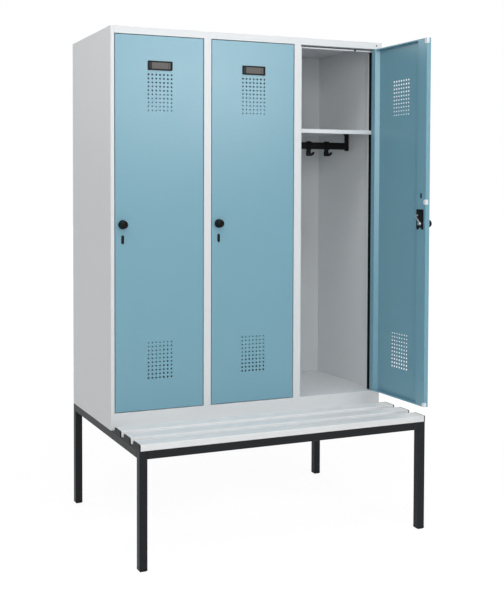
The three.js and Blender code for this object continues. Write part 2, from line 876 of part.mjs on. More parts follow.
function makeFrame() {
  const right = cabinetWidth - tubeSize;
  const back = cabinetDepth - tubeSize;
  const corners = [
    ['front_left', 0, -benchDepth],
    ['front_right', right, -benchDepth],
    ['back_left', 0, back],
    ['back_right', right, back],
  ];
  for (const [corner, x, y] of corners) {
    addPiece(group, `leg_${corner}`, legGeometry(), anthracite).position.set(x, y, 0);
    addPiece(group, `foot_${corner}`, footGeometry(), blackPlastic).position.set(x, y, 0);
  }
  addPiece(group, 'rail_front', railAlongX(-benchDepth), anthracite);
  addPiece(group, 'rail_middle', railAlongX(0), anthracite);
  addPiece(group, 'rail_back', railAlongX(back), anthracite);
  addPiece(group, 'rail_left', railAlongY(0), anthracite);
  addPiece(group, 'rail_right', railAlongY(right), anthracite);
}

// Seat

// The slat's outer outline with rounded upper edges, from its front edge at y = 0
function slatOutline() {
  return new THREE.Shape([
    new THREE.Vector2(0, 0),
    new THREE.Vector2(slatWidth, 0),
    ...arc(slatWidth - slatCorner, slatHeight - slatCorner, slatCorner, 0, 1),
    ...arc(slatCorner, slatHeight - slatCorner, slatCorner, 1, 2),
  ]);
}

function slatGeometry() {
  const length = cabinetWidth - 2 * capThickness;
  const inside = block(
    -overrun,
    length + overrun,
    slatWall,
    slatWidth - slatWall,
    -overrun,
    slatHeight - slatWall,
  );
  return cut(lengthwise(slatOutline(), 0, length), inside);
}

function capGeometry() {
  const plate = lengthwise(slatOutline(), 0, capThickness);
  const play = slatWall + fit;
  const plug = block(
    capThickness / 2,
    capThickness + capPlug,
    play,
    slatWidth - play,
    slatWall,
    slatHeight - play,
  );
  return joined(plate, plug);
}

// Slats are counted from the cabinet to the front
function makeSeat() {
  for (let i = 0; i < slatCount; i += 1) {
    const y = -benchDepth + (slatCount - 1 - i) * slatPitch;
    const name = i + 1;
    const slat = addPiece(group, `seat_slat_${name}`, slatGeometry(), slatGrey);
    slat.position.set(capThickness, y, frameHeight);
    const leftCap = addPiece(group, `slat_cap_${name}_left`, capGeometry(), blackPlastic);
    leftCap.position.set(0, y, frameHeight);
    const rightCap = addPiece(group, `slat_cap_${name}_right`, capGeometry(), blackPlastic);
    rightCap.position.set(cabinetWidth, y + slatWidth, frameHeight);
    rightCap.rotation.z = Math.PI;
  }
}

makeSides();
compartments.slice(1).forEach(({ left }, i) => makeDivider(i + 1, left));
makeTopPanel();
makeFloorPanel();
makeBackPanel();
compartments.forEach((compartment) => {
  makeHatShelf(compartment);
  makeCoatRail(compartment);
  makeHooks(compartment);
  makeDoor(compartment);
});
makeFrame();
makeSeat();

// The origin is the middle of the space that the part takes up, on the ground
const bounds = new THREE.Box3().setFromObject(group, true);
group.position.set(-(bounds.min.x + bounds.max.x) / 2, -(bounds.min.y + bounds.max.y) / 2, -bounds.min.z);

export default group;
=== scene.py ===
"""Looks of the locker with bench: finishes, small pieces, light and camera."""

import json
import math

import bmesh
import bpy
from mathutils import Matrix, Vector


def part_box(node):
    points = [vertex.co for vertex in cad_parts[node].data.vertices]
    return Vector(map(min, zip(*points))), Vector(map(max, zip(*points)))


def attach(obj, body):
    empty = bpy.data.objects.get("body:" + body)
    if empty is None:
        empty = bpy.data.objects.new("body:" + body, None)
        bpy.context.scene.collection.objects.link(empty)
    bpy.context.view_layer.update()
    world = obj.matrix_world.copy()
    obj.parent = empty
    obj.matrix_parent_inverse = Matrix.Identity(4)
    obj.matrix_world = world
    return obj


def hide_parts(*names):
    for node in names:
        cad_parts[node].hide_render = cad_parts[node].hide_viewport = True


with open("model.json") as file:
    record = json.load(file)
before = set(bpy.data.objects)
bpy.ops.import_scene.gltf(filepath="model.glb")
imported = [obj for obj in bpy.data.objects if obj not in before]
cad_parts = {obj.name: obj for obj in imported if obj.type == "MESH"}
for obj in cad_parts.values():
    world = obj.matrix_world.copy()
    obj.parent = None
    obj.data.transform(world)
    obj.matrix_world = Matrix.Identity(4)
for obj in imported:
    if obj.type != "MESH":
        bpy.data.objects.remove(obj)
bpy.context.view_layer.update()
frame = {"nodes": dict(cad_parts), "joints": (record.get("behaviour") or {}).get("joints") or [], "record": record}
nodes = frame["nodes"]

# Lengths of the object are in millimetres, and MM turns them into Blender's metres. Materials,
# floor and lamps are in metres
MM = 0.001
# Places closer together than this count as one
NEAR = 0.1

# The camera, fitted to the corners of the cabinet, the seat and the frame; the eye is given from
# the cabinet's front left corner and from the floor
IMAGE_WIDTH = 504
IMAGE_HEIGHT = 600
FOCAL_PIXELS = 948.416
CENTRE_X = 156.0
CENTRE_Y = 221.0
SENSOR = 36.0
EYE = (-1125.135, -3359.670, 1327.719)
YAW = 21.25440
PITCH = 1.85887
CLIP_END = 100

# Doors, in a door's own axes: the hinge line at the origin, the lower edge at z = 0 and the
# door closed, so that its front faces -y
DOORS = (1, 2, 3)
OPEN_DOOR = 3
OPEN_ANGLE = 91
DOOR_BOTTOM = 490
DOOR_HEIGHT = 1420
DOOR_LEFT = -351.667
DOOR_FRONT = -5
DOOR_BACK = 13
DOOR_MIDDLE = -171.333
SHEET = 1

# Cabinet, in the row frame
CABINET_LEFT, CABINET_FRONT, _ = (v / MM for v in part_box("side_left")[0])
CELL = 396.667


def srgb(red, green, blue):
    """The linear light of a colour given as three sRGB bytes."""
    return tuple(
        c / 12.92 if c <= 0.04045 else ((c + 0.055) / 1.055) ** 2.4
        for c in (red / 255, green / 255, blue / 255)
    ) + (1.0,)


# Node helpers


def add_node(tree, kind, inputs=None, **settings):
    """A node with its settings made, its sockets set, and linked where a socket is given."""
    made = tree.nodes.new(kind)
    for name, value in settings.items():
        setattr(made, name, value)
    for name, value in (inputs or {}).items():
        if isinstance(value, bpy.types.NodeSocket):
            tree.links.new(value, made.inputs[name])
        else:
            made.inputs[name].default_value = value
    return made


def maths(tree, operation, first, second, clamp=False):
    """The value of one sum."""
    inputs = {0: first, 1: second}
    made = add_node(tree, "ShaderNodeMath", inputs, operation=operation, use_clamp=clamp)
    return made.outputs[0]


def new_group(name, inputs, outputs):
    """An empty shader group with its sockets, what it is given and what it results in."""
    tree = bpy.data.node_groups.new(name, "ShaderNodeTree")
    for label, kind, value in inputs:
        socket = tree.interface.new_socket(name=label, in_out="INPUT", socket_type=kind)
        socket.default_value = value
    for label, kind in outputs:
        tree.interface.new_socket(name=label, in_out="OUTPUT", socket_type=kind)
    given = tree.nodes.new("NodeGroupInput").outputs
    result = tree.nodes.new("NodeGroupOutput").inputs
    return tree, given, result


FLOAT = "NodeSocketFloat"
COLOR = "NodeSocketColor"
VECTOR = "NodeSocketVector"
WHITE = (1.0, 1.0, 1.0, 1.0)
# Sockets of a Mix node that mixes colours
MIX_FIRST = 6
MIX_SECOND = 7
MIX_RESULT = 2


def make_sprayed_skin():
    """Height of a sprayed and baked coat: fine orange peel over the slight waves of thin sheet."""
    tree, given, result = new_group(
        "Sprayed Skin",
        [
            ("Peel Scale", FLOAT, 420.0),
            ("Peel Depth", FLOAT, 0.000012),
            ("Wave Scale", FLOAT, 3.0),
            ("Wave Depth", FLOAT, 0.0005),
        ],
        [("Height", FLOAT)],
    )
    place = add_node(tree, "ShaderNodeTexCoord").outputs["Object"]
    peel = add_node(
        tree, "ShaderNodeTexNoise", {"Vector": place, "Scale": given["Peel Scale"], "Detail": 2.0}
    )
    wave = add_node(
        tree, "ShaderNodeTexNoise", {"Vector": place, "Scale": given["Wave Scale"], "Detail": 1.0}
    )
    fine = maths(tree, "MULTIPLY", peel.outputs["Fac"], given["Peel Depth"])
    broad = maths(tree, "MULTIPLY", wave.outputs["Fac"], given["Wave Depth"])
    tree.links.new(maths(tree, "ADD", fine, broad), result["Height"])
    return tree


def make_mottle():
    """A colour that is a little lighter and darker in soft patches."""
    tree, given, result = new_group(
        "Mottle",
        [("Color", COLOR, WHITE), ("Amount", FLOAT, 0.03), ("Scale", FLOAT, 6.0)],
        [("Color", COLOR)],
    )
    place = add_node(tree, "ShaderNodeTexCoord").outputs["Object"]
    patches = add_node(
        tree, "ShaderNodeTexNoise", {"Vector": place, "Scale": given["Scale"], "Detail": 4.0}
    )
    centred = maths(tree, "SUBTRACT", patches.outputs["Fac"], 0.5)
    swing = maths(tree, "MULTIPLY", centred, given["Amount"])
    value = maths(tree, "ADD", swing, 1.0)
    shaded = add_node(
        tree, "ShaderNodeHueSaturation", {"Color": given["Color"], "Value": value}
    )
    tree.links.new(shaded.outputs["Color"], result["Color"])
    return tree


def make_handling():
    """Roughness that varies where hands and cloths have rubbed, with faint hairlines."""
    tree, given, result = new_group(
        "Handling",
        [("Roughness", FLOAT, 0.4), ("Spread", FLOAT, 0.06), ("Scale", FLOAT, 9.0)],
        [("Roughness", FLOAT)],
    )
    place = add_node(tree, "ShaderNodeTexCoord").outputs["Object"]
    patches = add_node(
        tree, "ShaderNodeTexNoise", {"Vector": place, "Scale": given["Scale"], "Detail": 5.0}
    )
    long = add_node(tree, "ShaderNodeMapping", {"Vector": place, "Scale": (40.0, 40.0, 700.0)})
    hair = add_node(
        tree, "ShaderNodeTexNoise", {"Vector": long.outputs["Vector"], "Scale": 1.0, "Detail": 3.0}
    )
    both = maths(tree, "ADD", patches.outputs["Fac"], hair.outputs["Fac"])
    centred = maths(tree, "SUBTRACT", both, 1.0)
    swing = maths(tree, "MULTIPLY", centred, given["Spread"])
    tree.links.new(maths(tree, "ADD", swing, given["Roughness"], True), result["Roughness"])
    return tree


def make_moulded_grain():
    """Height of the fine spark-eroded grain of moulded plastic."""
    tree, given, result = new_group(
        "Moulded Grain",
        [("Scale", FLOAT, 1500.0), ("Depth", FLOAT, 0.00002)],
        [("Height", FLOAT)],
    )
    place = add_node(tree, "ShaderNodeTexCoord").outputs["Object"]
    inputs = {"Vector": place, "Scale": given["Scale"]}
    cells = add_node(tree, "ShaderNodeTexVoronoi", inputs, feature="SMOOTH_F1")
    height = maths(tree, "MULTIPLY", cells.outputs["Distance"], given["Depth"])
    tree.links.new(height, result["Height"])
    return tree


def make_drawn_lines():
    """Long fine lines, from extruding, drawing or brushing; Stretch is how fine, per axis."""
    tree, given, result = new_group(
        "Drawn Lines",
        [("Stretch", VECTOR, (3.0, 700.0, 700.0)), ("Depth", FLOAT, 0.00001)],
        [("Height", FLOAT), ("Streak", FLOAT)],
    )
    place = add_node(tree, "ShaderNodeTexCoord").outputs["Object"]
    stretched = add_node(
        tree, "ShaderNodeVectorMath", {0: place, 1: given["Stretch"]}, operation="MULTIPLY"
    )
    lines = add_node(
        tree, "ShaderNodeTexNoise", {"Vector": stretched.outputs[0], "Scale": 1.0, "Detail": 4.0}
    )
    tree.links.new(maths(tree, "MULTIPLY", lines.outputs["Fac"], given["Depth"]), result["Height"])
    tree.links.new(lines.outputs["Fac"], result["Streak"])
    return tree


SPRAYED_SKIN = make_sprayed_skin()
MOTTLE = make_mottle()
HANDLING = make_handling()
MOULDED_GRAIN = make_moulded_grain()
DRAWN_LINES = make_drawn_lines()


def start_material(name):
    """A material with an empty tree, its Principled shader and its output."""
    material = bpy.data.materials.new(name)
    material.use_nodes = True
    tree = material.node_tree
    tree.nodes.clear()
    shader = add_node(tree, "ShaderNodeBsdfPrincipled")
    add_node(tree, "ShaderNodeOutputMaterial", {"Surface": shader.outputs[0]})
    return material, tree, shader


def use_group(tree, group, **inputs):
    """A group node with its inputs set; an underscore in a name stands for a space."""
    named = {name.replace("_", " "): value for name, value in inputs.items()}
    return add_node(tree, "ShaderNodeGroup", named, node_tree=group)


def feed_bump(tree, shader, height):
    """Heights are real metres, so the bump's own distance is one."""
    bump = add_node(tree, "ShaderNodeBump", {"Strength": 1.0, "Distance": 1.0, "Height": height})
    tree.links.new(bump.outputs["Normal"], shader.inputs["Normal"])


def feed_color(tree, shader, color, amount, scale):
    """A mottled base colour."""
    tone = use_group(tree, MOTTLE, Color=color, Amount=amount, Scale=scale)
    tree.links.new(tone.outputs["Color"], shader.inputs["Base Color"])


def feed_roughness(tree, shader, roughness, spread, scale):
    """A roughness that varies with handling."""
    rubbed = use_group(tree, HANDLING, Roughness=roughness, Spread=spread, Scale=scale)
    tree.links.new(rubbed.outputs["Roughness"], shader.inputs["Roughness"])


def powder_coat(name, color, roughness, specular, peel_depth=0.000012, wave_depth=0.0004):
    material, tree, shader = start_material(name)
    shader.inputs["Specular IOR Level"].default_value = specular
    feed_color(tree, shader, color, 0.03, 5.0)
    feed_roughness(tree, shader, roughness, 0.06, 8.0)
    skin = use_group(tree, SPRAYED_SKIN, Peel_Depth=peel_depth, Wave_Depth=wave_depth)
    feed_bump(tree, shader, skin.outputs["Height"])
    return material


# How far beyond a door's upper and lower edges its coat ends
COAT_OVER = 0.2


def door_coat(name, color, pin_color, roughness, specular):
    """The door's coat, which leaves its hinge pins bare beyond its upper and lower edges."""
    material = powder_coat(name, color, roughness, specular)
    tree = material.node_tree
    shader = next(n for n in tree.nodes if n.type == "BSDF_PRINCIPLED")
    place = add_node(tree, "ShaderNodeTexCoord").outputs["Object"]
    height = add_node(tree, "ShaderNodeSeparateXYZ", {"Vector": place}).outputs["Z"]
    middle = (DOOR_BOTTOM + DOOR_HEIGHT / 2) * MM
    away = maths(tree, "ABSOLUTE", maths(tree, "SUBTRACT", height, middle), 0.0)
    bare = maths(tree, "GREATER_THAN", away, (DOOR_HEIGHT / 2 + COAT_OVER) * MM)
    coat = shader.inputs["Base Color"].links[0].from_socket
    inputs = {"Factor": bare, MIX_FIRST: coat, MIX_SECOND: pin_color}
    mixed = add_node(tree, "ShaderNodeMix", inputs, data_type="RGBA")
    tree.links.new(mixed.outputs[MIX_RESULT], shader.inputs["Base Color"])
    tree.links.new(bare, shader.inputs["Metallic"])
    return material


def moulded_plastic(name, color, roughness, specular, grain=1500.0, depth=0.00002):
    material, tree, shader = start_material(name)
    shader.inputs["Specular IOR Level"].default_value = specular
    feed_color(tree, shader, color, 0.06, 25.0)
    feed_roughness(tree, shader, roughness, 0.08, 30.0)
    skin = use_group(tree, MOULDED_GRAIN, Scale=grain, Depth=depth)
    feed_bump(tree, shader, skin.outputs["Height"])
    return material


def extruded_plastic(name, color, roughness):
    """Smooth, with the long fine lines of its extrusion."""
    material, tree, shader = start_material(name)
    feed_color(tree, shader, color, 0.03, 4.0)
    feed_roughness(tree, shader, roughness, 0.1, 7.0)
    lines = use_group(tree, DRAWN_LINES, Stretch=(2.0, 500.0, 500.0), Depth=0.00002)
    feed_bump(tree, shader, lines.outputs["Height"])
    return material


def bright_zinc(name, color, roughness):
    """Zinc plate over brushed steel; the roughness is at its smoothest."""
    material, tree, shader = start_material(name)
    shader.inputs["Metallic"].default_value = 1.0
    feed_color(tree, shader, color, 0.25, 160.0)
    lines = use_group(tree, DRAWN_LINES, Stretch=(900.0, 900.0, 60.0), Depth=0.000006)
    streaked = maths(tree, "MULTIPLY", lines.outputs["Streak"], 0.2)
    rough = maths(tree, "ADD", streaked, roughness)
    tree.links.new(rough, shader.inputs["Roughness"])
    feed_bump(tree, shader, lines.outputs["Height"])
    return material


def plain_card(name, color):
    """Unprinted card with its fibres."""
    material, tree, shader = start_material(name)
    feed_color(tree, shader, color, 0.12, 300.0)
    feed_roughness(tree, shader, 0.6, 0.1, 60.0)
    fibres = use_group(tree, DRAWN_LINES, Stretch=(300.0, 1500.0, 1500.0), Depth=0.00002)
    feed_bump(tree, shader, fibres.outputs["Height"])
    return material


FINISHES = {
    "cabinet_grey": powder_coat("cabinet grey coat", srgb(218, 221, 223), 0.38, 0.4),
    "door_blue": door_coat("door blue coat", srgb(115, 162, 179), srgb(170, 172, 174), 0.3, 0.55),
    "frame_anthracite": powder_coat(
        "anthracite coat", srgb(29, 32, 35), 0.45, 0.16, peel_depth=0.00002, wave_depth=0.0001
    ),
    "slat_grey": extruded_plastic("slat grey plastic", srgb(226, 228, 229), 0.4),
    "black_plastic": moulded_plastic("black plastic", srgb(16, 17, 18), 0.5, 0.16),
    "gloss_black": moulded_plastic(
        "polished black plastic", srgb(5, 5, 6), 0.26, 0.14, grain=900.0, depth=0.000004
    ),
    "zinc": bright_zinc("bright zinc", srgb(206, 209, 213), 0.24),
}
BLACK = FINISHES["black_plastic"]
CARD = plain_card("label card", srgb(88, 85, 83))
GRIP = moulded_plastic("dark grey plastic", srgb(40, 41, 43), 0.55, 0.25)
WHITE_RUBBER = moulded_plastic("white rubber", srgb(226, 230, 232), 0.6, 0.4, grain=1100.0)
# Near black for the channels in the hinge posts, which paint the shade inside them
PAINTED_SHADE_BLACK = moulded_plastic("post painted shade black", srgb(8, 8, 9), 0.7, 0.1)

for subpart in frame["record"]["subparts"]:
    shown = nodes[subpart["node"]]
    shown.data.materials.clear()
    shown.data.materials.append(FINISHES[subpart["material_slot"]])


# Mesh helpers


def leaf_matrix(number):
    """From a door's own axes to the row frame."""
    joint = next(j for j in frame["joints"] if j["name"] == f"door_{number}_hinge")
    x, y, _ = joint["pos_m"]
    turned = math.radians(OPEN_ANGLE) if number == OPEN_DOOR else 0.0
    return Matrix.Translation((x, y, DOOR_BOTTOM * MM)) @ Matrix.Rotation(turned, 4, "Z")


def in_millimetres(matrix):
    """The same change of axes for a mesh drawn in millimetres."""
    return matrix @ Matrix.Scale(MM, 4)


ROW = in_millimetres(Matrix.Identity(4))


def bevel_edges(mesh, edges, width, steps):
    bmesh.ops.bevel(
        mesh,
        geom=list(edges),
        offset=width,
        offset_type="OFFSET",
        segments=steps,
        profile=0.5,
        affect="EDGES",
        clamp_overlap=True,
        material=-1,
    )


def draw_box(low, high):
    """A box between two corners."""
    mesh = bmesh.new()
    size = [b - a for a, b in zip(low, high)]
    middle = [(a + b) / 2 for a, b in zip(low, high)]
    place = Matrix.Translation(middle) @ Matrix.Diagonal((*size, 1))
    bmesh.ops.create_cube(mesh, size=1, matrix=place)
    return mesh


def edges_along(mesh, axis):
    """The straight edges that run along an axis, 0 to 2."""
    found = []
    for edge in mesh.edges:
        run = (edge.verts[1].co - edge.verts[0].co).normalized()
        if abs(run[axis]) > 0.999:
            found.append(edge)
    return found


def sharp_edges(mesh, angle):
    """The edges whose two faces turn by more than an angle in radians."""
    return [edge for edge in mesh.edges if edge.calc_face_angle(0) > angle]


def furthest(mesh, axis):
    """The face whose middle lies furthest along an axis."""
    return max(mesh.faces, key=lambda f: f.calc_center_median()[axis])


def draw_out(mesh, faces, step):
    """Draws faces out by a step, leaves the first ones in place and gives the moved vertices."""
    grown = bmesh.ops.extrude_face_region(mesh, geom=faces)
    moved = [v for v in grown["geom"] if isinstance(v, bmesh.types.BMVert)]
    bmesh.ops.translate(mesh, vec=step, verts=moved)
    return moved


def lengthen(mesh, faces, step):
    """Moves faces of a solid outwards by a step, with new sides, and gives their vertices."""
    moved = draw_out(mesh, faces, step)
    bmesh.ops.delete(mesh, geom=faces, context="FACES_ONLY")
    return moved


def sink(mesh, faces, *steps):
    """Insets faces step by step, each step being how far inward and how far out."""
    for inward, outward in steps:
        bmesh.ops.inset_region(mesh, faces=faces, thickness=inward, depth=outward)


def take_in(mesh, other):
    """Adds another drawn mesh to this one."""
    part = bpy.data.meshes.new("part")
    other.to_mesh(part)
    other.free()
    mesh.from_mesh(part)
    bpy.data.meshes.remove(part)


def new_piece(name, data, angle):
    """An object for a mesh, shaded smooth but for edges over an angle in degrees."""
    data.shade_smooth()
    data.set_sharp_from_angle(angle=math.radians(angle))
    piece = bpy.data.objects.new(name, data)
    bpy.context.scene.collection.objects.link(piece)
    return piece


def finish_piece(name, mesh, matrix, material, body, angle=35):
    """Puts a drawn mesh in its place in the row frame as a piece that rides on a body."""
    bmesh.ops.transform(mesh, matrix=matrix, verts=mesh.verts)
    bmesh.ops.recalc_face_normals(mesh, faces=mesh.faces)
    data = bpy.data.meshes.new(name)
    mesh.to_mesh(data)
    mesh.free()
    data.materials.append(material)
    piece = new_piece(name, data, angle)
    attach(piece, body)
    return piece


# Rounded copies of CAD nodes: each keeps its node's shape, with the sharp outer edges eased as
# folding, drawing or moulding leaves them

BODY_OF = {
    node: body for body, held in frame["record"]["behaviour"]["bodies"].items() for node in held
}
SLOT_OF = {s["node"]: s["material_slot"] for s in frame["record"]["subparts"]}
# The CAD mesh is cleaned to one vertex per corner and one face per plane before it is eased
SAME_VERTEX = 0.005
# Angles between faces, in degrees: taken as one plane up to the first, eased over the second and
# shaded as an edge over the third
SAME_PLANE = 0.5
EASED_OVER = 50
ROUNDED_SHARP = 32


def round_node(name, width, steps, smallest_face):
    """Width is in millimetres; an edge is rounded only between faces over the smallest, in mm2."""
    mesh = bmesh.new()
    mesh.from_mesh(nodes[name].data)
    bmesh.ops.remove_doubles(mesh, verts=mesh.verts, dist=SAME_VERTEX * MM)
    bmesh.ops.dissolve_limit(
        mesh, angle_limit=math.radians(SAME_PLANE), verts=mesh.verts, edges=mesh.edges
    )
    sharp = [
        edge
        for edge in mesh.edges
        if edge.is_manifold
        and edge.is_convex
        and edge.calc_face_angle() > math.radians(EASED_OVER)
        and min(face.calc_area() for face in edge.link_faces) > smallest_face * MM * MM
    ]
    bevel_edges(mesh, sharp, width * MM, steps)
    # Where two eased edges meet, easing leaves edges of no length
    bmesh.ops.dissolve_degenerate(mesh, dist=SAME_VERTEX * MM, edges=mesh.edges)
    data = bpy.data.meshes.new(f"{name}_rounded")
    mesh.to_mesh(data)
    mesh.free()
    data.materials.append(FINISHES[SLOT_OF[name]])
    piece = new_piece(f"{name}_rounded", data, ROUNDED_SHARP)
    weighted = piece.modifiers.new("even shading", "WEIGHTED_NORMAL")
    weighted.keep_sharp = True
    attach(piece, BODY_OF[name])
    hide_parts(name)


# How far the edges of each kind of node are eased, in how many steps, and the smallest face
# beside such an edge
TUBE_EDGES = (2.2, 4, 3000.0)
SHEET_EDGES = (1.1, 3, 3000.0)
EASED = {
    "leg_": TUBE_EDGES,
    "rail_": TUBE_EDGES,
    "foot_": (0.8, 3, 0.0),
    "slat_cap_": (0.9, 3, 0.0),
    "seat_slat_": (0.4, 2, 0.0),
    "label_holder_": (0.6, 3, 0.0),
    "lock_plate_": (0.3, 2, 0.0),
    "lock_cam_": (0.25, 2, 0.0),
    "side_": SHEET_EDGES,
    "divider_": SHEET_EDGES,
    "top_panel": SHEET_EDGES,
    "floor_panel": SHEET_EDGES,
    "door_": SHEET_EDGES,
}
for name in SLOT_OF:
    kind = next((start for start in EASED if name.startswith(start)), None)
    if kind:
        round_node(name, *EASED[kind])


# Labels: a card and its torn-off tab, and the grip to their left, in the window of each holder

LABEL_HEIGHT_AT = DOOR_HEIGHT - 111
WINDOW_WIDTH = 90
WINDOW_HEIGHT = 25
WINDOW_FLOOR = -6.8
CARD_PLAY = 0.3
CARD_THICKNESS = 0.5
CARD_CORNER = 0.6
CARD_SHORT = 3.4
TAB_WIDTH = 6
TAB_LINE = 1.3
GRIP_WIDTH = 11
GRIP_THICK = 1.3
GRIP_THIN = 0.6
GRIP_CUTS = 9
RIB_INSET = 0.35
RIB_PROUD = 0.4
RIB_EASED = 0.12
RIB_SHARP = 1.0


def make_label(number):
    matrix = in_millimetres(leaf_matrix(number))
    leaf = f"door_{number}_leaf"
    left = DOOR_MIDDLE - WINDOW_WIDTH / 2 + CARD_PLAY
    right = DOOR_MIDDLE + WINDOW_WIDTH / 2 - CARD_PLAY
    low = LABEL_HEIGHT_AT - WINDOW_HEIGHT / 2 + CARD_PLAY
    high = LABEL_HEIGHT_AT + WINDOW_HEIGHT / 2 - CARD_PLAY
    split = left + GRIP_WIDTH
    end = right - CARD_SHORT
    tab = end - TAB_WIDTH
    for name, start, stop in (("card", split, tab - TAB_LINE), ("card_tab", tab, end)):
        card = draw_box((start, WINDOW_FLOOR - CARD_THICKNESS, low), (stop, WINDOW_FLOOR, high))
        bevel_edges(card, edges_along(card, 1), CARD_CORNER, 3)
        finish_piece(f"label_{name}_{number}", card, matrix, CARD, leaf)
    # The grip slopes to the card, with four ribs across it
    grip = draw_box((left, WINDOW_FLOOR - GRIP_THICK, low), (split, WINDOW_FLOOR, high))
    for vert in grip.verts:
        if vert.co.x > split - NEAR and vert.co.y < WINDOW_FLOOR - NEAR:
            vert.co.y = WINDOW_FLOOR - GRIP_THIN
    bmesh.ops.subdivide_edges(
        grip, edges=edges_along(grip, 2), cuts=GRIP_CUTS, use_grid_fill=True
    )
    front = [f for f in grip.faces if f.normal.y < -0.5]
    front.sort(key=lambda f: f.calc_center_median().z)
    ribs = front[1:-1:2]
    bmesh.ops.inset_individual(grip, faces=ribs, thickness=RIB_INSET, depth=0.0)
    lifted = bmesh.ops.extrude_discrete_faces(grip, faces=ribs)
    for face in lifted["faces"]:
        bmesh.ops.translate(grip, vec=(0, -RIB_PROUD, 0), verts=face.verts)
    bevel_edges(grip, sharp_edges(grip, RIB_SHARP), RIB_EASED, 2)
    finish_piece(f"label_grip_{number}", grip, matrix, GRIP, leaf)


# Slot cups: a black cup with a rounded rim that fills the key slot in a door's front, and another
# in the slot of its lock box, whose black is painted shade that darkens the view through that slot;
# each slot has its width, its height and its rise above the lock

LOCK_X = -322.267
LOCK_HEIGHT = 708.5
KEY_SLOT = (12, 34, -57)
BACK_SLOT = (10, 22, 108)
CUP_SEGMENTS = 40
CUP_DEPTH = 6
CUP_SUNK = 0.25
CUP_BITE = 0.1
CUP_RIM = (1.3, 0)
CUP_SLOPE = (0.35, -0.5)
CUP_WELL = (0.01, -3.4)


def draw_pill(width, height):
    """A flat upright pill round the origin that faces -y."""
    mesh = bmesh.new()
    bmesh.ops.create_circle(mesh, cap_ends=True, segments=CUP_SEGMENTS, radius=width / 2)
    half = (height - width) / 2
    for vert in mesh.verts:
        vert.co.y += half if vert.co.y > -1e-6 else -half
    turn = Matrix.Rotation(math.pi / 2, 4, "X")
    bmesh.ops.transform(mesh, matrix=turn, verts=mesh.verts)
    return mesh


def make_slot_cup(name, number, sizes, face_at, turned):
    width, height, rise = sizes
    cup = draw_pill(width + 2 * CUP_BITE, height + 2 * CUP_BITE)
    draw_out(cup, cup.faces[:], (0, CUP_DEPTH, 0))
    bmesh.ops.recalc_face_normals(cup, faces=cup.faces)
    front = min(cup.faces, key=lambda f: f.calc_center_median().y)
    sink(cup, [front], CUP_RIM, CUP_SLOPE, CUP_WELL)
    spot = (LOCK_X, face_at, LOCK_HEIGHT + rise)
    place = Matrix.Translation(spot) @ Matrix.Rotation(turned, 4, "Z")
    bmesh.ops.transform(cup, matrix=place, verts=cup.verts)
    matrix = in_millimetres(leaf_matrix(number))
    finish_piece(f"{name}_{number}", cup, matrix, BLACK, f"door_{number}_leaf")


# Bumpers: white pads wrapped round the inner corner of each door's free edge

BUMPER_HEIGHTS = {"upper": 1409, "middle": 792, "lower": 7}
BUMPER_PROUD = 1.6
BUMPER_ON_BACK = 12
BUMPER_ON_EDGE = 10
BUMPER_HALF = 10
# Radius and steps of the corners on the door's back, of those on its edge and of the fold
BUMPER_TIP = (7, 8)
BUMPER_END = (4, 6)
BUMPER_FOLD = (1.2, 4)
EDGE_STEP = 0.7


def make_bumper(number, where, height):
    matrix = in_millimetres(leaf_matrix(number))
    edge = DOOR_LEFT + EDGE_STEP
    low = max(height - BUMPER_HALF, SHEET)
    high = min(height + BUMPER_HALF, DOOR_HEIGHT - SHEET)
    pad = draw_box((edge - BUMPER_PROUD, DOOR_BACK - BUMPER_ON_EDGE, low), (edge, DOOR_BACK, high))
    lengthen(pad, [furthest(pad, 1)], (0, BUMPER_PROUD, 0))
    inner = [
        f for f in pad.faces if f.normal.x > 0.9 and f.calc_center_median().y > DOOR_BACK
    ]
    lengthen(pad, inner, (BUMPER_ON_BACK, 0, 0))
    bmesh.ops.recalc_face_normals(pad, faces=pad.faces)
    tips = [e for e in edges_along(pad, 1) if e.verts[0].co.x > edge + BUMPER_ON_BACK - NEAR]
    bevel_edges(pad, tips, *BUMPER_TIP)
    ends = [
        e
        for e in edges_along(pad, 0)
        if max(v.co.y for v in e.verts) < DOOR_BACK - BUMPER_ON_EDGE + NEAR
    ]
    bevel_edges(pad, ends, *BUMPER_END)
    corner = [
        e
        for e in edges_along(pad, 2)
        if min(v.co.x for v in e.verts) < edge - BUMPER_PROUD + NEAR
        and max(v.co.y for v in e.verts) > DOOR_BACK + BUMPER_PROUD - NEAR
    ]
    bevel_edges(pad, corner, *BUMPER_FOLD)
    name = f"bumper_{number}_{where}"
    finish_piece(name, pad, matrix, WHITE_RUBBER, f"door_{number}_leaf")


# Post shade pieces: a black channel just inside the open side of each hinge post, painted shade that
# makes the hollow of the post read dark

POST_FACE = 27
POST_OPEN_FROM = 21.6
POST_OPEN_TO = 58.4
SHADE_PIECE_PLAY = 0.3
SHADE_PIECE_DEEP = 9
SHADE_PIECE_WALL = 1.2
SHADE_PIECE_DRAFT = 0.001
SHADE_PIECE_EASED = 0.3
SHADE_PIECE_LOW = 485
SHADE_PIECE_HIGH = 1904


